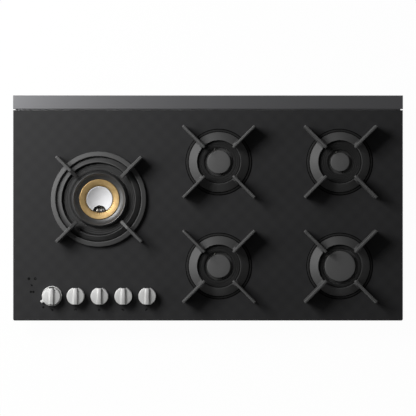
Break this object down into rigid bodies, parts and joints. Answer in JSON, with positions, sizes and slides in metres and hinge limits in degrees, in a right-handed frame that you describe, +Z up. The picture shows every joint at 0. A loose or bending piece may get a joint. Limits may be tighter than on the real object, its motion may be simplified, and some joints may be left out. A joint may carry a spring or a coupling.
{
  "type": "gas cooktop",
  "caption": "Built-in gas cooktop: matt black glass panel with a metal strip behind, a large wok burner, four smaller burners, cast pan supports and metal knobs",
  "frame": {"origin": "under the middle of the panel, at the underside of the steel tray", "axes": "+X to the user's right along the panel's width, +Y to the rear, +Z up"},
  "size_m": [0.9, 0.52, 0.104],
  "materials": {
    "glass": "matt black ceramic glass with a faint etched grain",
    "trim_metal": "anodised dark grey, fine brushed",
    "steel_sheet": "zinc plated sheet and fasteners",
    "tray_metal": "galvanised folded sheet",
    "seal_foam": "closed-cell foam",
    "brass": "machined brass, satin",
    "alloy": "die-cast aluminium, as cast",
    "burner_alloy": "dark grey coated burner casting",
    "gasket": "grey heat-resistant fibre",
    "enamel_dish": "dark satin enamel",
    "cap_enamel": "matt black enamel",
    "ceramic": "white glazed ceramic with a steel pin",
    "plastic_black": "moulded black plastic",
    "plastic_light": "moulded light plastic",
    "rubber": "black silicone rubber",
    "bowl_steel": "polished stainless steel, fine turned",
    "cast_iron": "matt enamelled cast iron",
    "knob_metal": "satin anodised metal, turned face"
  },
  "bodies": {
    "cooktop": {"glass_panel": "glass", "rear_trim": "trim_metal", "bonding_frame": "steel_sheet", "worktop_seal": "seal_foam", "burner_box": "tray_metal", "worktop_clamps": "steel_sheet", "gas_manifold": "steel_sheet", "gas_inlet": "brass", "gas_taps": "alloy", "feed_pipes": "alloy", "burner_cups": "alloy", "wok_cup": "alloy", "cup_gaskets": "gasket", "gas_jets": "brass", "burner_trim_rings": "enamel_dish", "spark_electrodes": "ceramic", "thermocouples": "steel_sheet", "spark_module": "plastic_black", "spark_switches": "plastic_black", "terminal_block": "plastic_light", "cable_gland": "plastic_black", "screws": "steel_sheet", "knob_grommets": "rubber"},
    "wok_ring": {"wok_burner_ring": "burner_alloy"},
    "wok_flame": {"wok_flame_ring": "brass"},
    "wok_centre": {"wok_bowl": "bowl_steel"},
    "wok_support": {"wok_pan_support": "cast_iron", "wok_support_feet": "rubber"},
    "wok_selector": {"wok_selector_ring": "knob_metal"},
    "burner_middle_rear": {"crown_middle_rear": "burner_alloy"},
    "lid_middle_rear": {"cap_middle_rear": "cap_enamel"},
    "support_middle_rear": {"pan_support_middle_rear": "cast_iron", "support_feet_middle_rear": "rubber"},
    "burner_middle_front": {"crown_middle_front": "burner_alloy"},
    "lid_middle_front": {"cap_middle_front": "cap_enamel"},
    "support_middle_front": {"pan_support_middle_front": "cast_iron", "support_feet_middle_front": "rubber"},
    "burner_right_front": {"crown_right_front": "burner_alloy"},
    "lid_right_front": {"cap_right_front": "cap_enamel"},
    "support_right_front": {"pan_support_right_front": "cast_iron", "support_feet_right_front": "rubber"},
    "burner_right_rear": {"crown_right_rear": "burner_alloy"},
    "lid_right_rear": {"cap_right_rear": "cap_enamel"},
    "support_right_rear": {"pan_support_right_rear": "cast_iron", "support_feet_right_rear": "rubber"},
    "push_1": {"tap_plunger_1": "brass"},
    "turn_1": {"spindle_1": "steel_sheet", "knob_1": "knob_metal"},
    "push_2": {"tap_plunger_2": "brass"},
    "turn_2": {"spindle_2": "steel_sheet", "knob_2": "knob_metal"},
    "push_3": {"tap_plunger_3": "brass"},
    "turn_3": {"spindle_3": "steel_sheet", "knob_3": "knob_metal"},
    "push_4": {"tap_plunger_4": "brass"},
    "turn_4": {"spindle_4": "steel_sheet", "knob_4": "knob_metal"},
    "push_5": {"tap_plunger_5": "brass"},
    "turn_5": {"spindle_5": "steel_sheet", "knob_5": "knob_metal"}
  },
  "joints": [
    {"name": "wok_ring_lift", "type": "slide", "parent": "cooktop", "child": "wok_ring", "axis": [0, 0, 1], "range_m": [0, 0.05]},
    {"name": "wok_flame_lift", "type": "slide", "parent": "wok_ring", "child": "wok_flame", "axis": [0, 0, 1], "range_m": [0, 0.03]},
    {"name": "wok_bowl_lift", "type": "slide", "parent": "cooktop", "child": "wok_centre", "axis": [0, 0, 1], "range_m": [0, 0.04]},
    {"name": "wok_support_lift", "type": "slide", "parent": "cooktop", "child": "wok_support", "axis": [0, 0, 1], "range_m": [0, 0.06]},
    {"name": "wok_selector_turn", "type": "hinge", "parent": "cooktop", "child": "wok_selector", "pos_m": [-0.36, -0.203, 0.063], "axis": [0, 0, 1], "range_deg": [0, 60]},
    {"name": "crown_lift_middle_rear", "type": "slide", "parent": "cooktop", "child": "burner_middle_rear", "axis": [0, 0, 1], "range_m": [0, 0.04]},
    {"name": "cap_lift_middle_rear", "type": "slide", "parent": "burner_middle_rear", "child": "lid_middle_rear", "axis": [0, 0, 1], "range_m": [0, 0.02]},
    {"name": "support_lift_middle_rear", "type": "slide", "parent": "cooktop", "child": "support_middle_rear", "axis": [0, 0, 1], "range_m": [0, 0.06]},
    {"name": "crown_lift_middle_front", "type": "slide", "parent": "cooktop", "child": "burner_middle_front", "axis": [0, 0, 1], "range_m": [0, 0.04]},
    {"name": "cap_lift_middle_front", "type": "slide", "parent": "burner_middle_front", "child": "lid_middle_front", "axis": [0, 0, 1], "range_m": [0, 0.02]},
    {"name": "support_lift_middle_front", "type": "slide", "parent": "cooktop", "child": "support_middle_front", "axis": [0, 0, 1], "range_m": [0, 0.06]},
    {"name": "crown_lift_right_front", "type": "slide", "parent": "cooktop", "child": "burner_right_front", "axis": [0, 0, 1], "range_m": [0, 0.04]},
    {"name": "cap_lift_right_front", "type": "slide", "parent": "burner_right_front", "child": "lid_right_front", "axis": [0, 0, 1], "range_m": [0, 0.02]},
    {"name": "support_lift_right_front", "type": "slide", "parent": "cooktop", "child": "support_right_front", "axis": [0, 0, 1], "range_m": [0, 0.06]},
    {"name": "crown_lift_right_rear", "type": "slide", "parent": "cooktop", "child": "burner_right_rear", "axis": [0, 0, 1], "range_m": [0, 0.04]},
    {"name": "cap_lift_right_rear", "type": "slide", "parent": "burner_right_rear", "child": "lid_right_rear", "axis": [0, 0, 1], "range_m": [0, 0.02]},
    {"name": "support_lift_right_rear", "type": "slide", "parent": "cooktop", "child": "support_right_rear", "axis": [0, 0, 1], "range_m": [0, 0.06]},
    {"name": "knob_push_1", "type": "slide", "parent": "cooktop", "child": "push_1", "axis": [0, 0, -1], "range_m": [0, 0.003], "stiffness_N_per_m": 600, "springref_m": -0.01},
    {"name": "knob_turn_1", "type": "hinge", "parent": "push_1", "child": "turn_1", "pos_m": [-0.36, -0.203, 0.065], "axis": [0, 0, 1], "range_deg": [0, 210]},
    {"name": "knob_push_2", "type": "slide", "parent": "cooktop", "child": "push_2", "axis": [0, 0, -1], "range_m": [0, 0.003], "stiffness_N_per_m": 600, "springref_m": -0.01},
    {"name": "knob_turn_2", "type": "hinge", "parent": "push_2", "child": "turn_2", "pos_m": [-0.305, -0.203, 0.065], "axis": [0, 0, 1], "range_deg": [0, 210]},
    {"name": "knob_push_3", "type": "slide", "parent": "cooktop", "child": "push_3", "axis": [0, 0, -1], "range_m": [0, 0.003], "stiffness_N_per_m": 600, "springref_m": -0.01},
    {"name": "knob_turn_3", "type": "hinge", "parent": "push_3", "child": "turn_3", "pos_m": [-0.25, -0.203, 0.065], "axis": [0, 0, 1], "range_deg": [0, 210]},
    {"name": "knob_push_4", "type": "slide", "parent": "cooktop", "child": "push_4", "axis": [0, 0, -1], "range_m": [0, 0.003], "stiffness_N_per_m": 600, "springref_m": -0.01},
    {"name": "knob_turn_4", "type": "hinge", "parent": "push_4", "child": "turn_4", "pos_m": [-0.195, -0.203, 0.065], "axis": [0, 0, 1], "range_deg": [0, 210]},
    {"name": "knob_push_5", "type": "slide", "parent": "cooktop", "child": "push_5", "axis": [0, 0, -1], "range_m": [0, 0.003], "stiffness_N_per_m": 600, "springref_m": -0.01},
    {"name": "knob_turn_5", "type": "hinge", "parent": "push_5", "child": "turn_5", "pos_m": [-0.14, -0.203, 0.065], "axis": [0, 0, 1], "range_deg": [0, 210]}
  ]
}
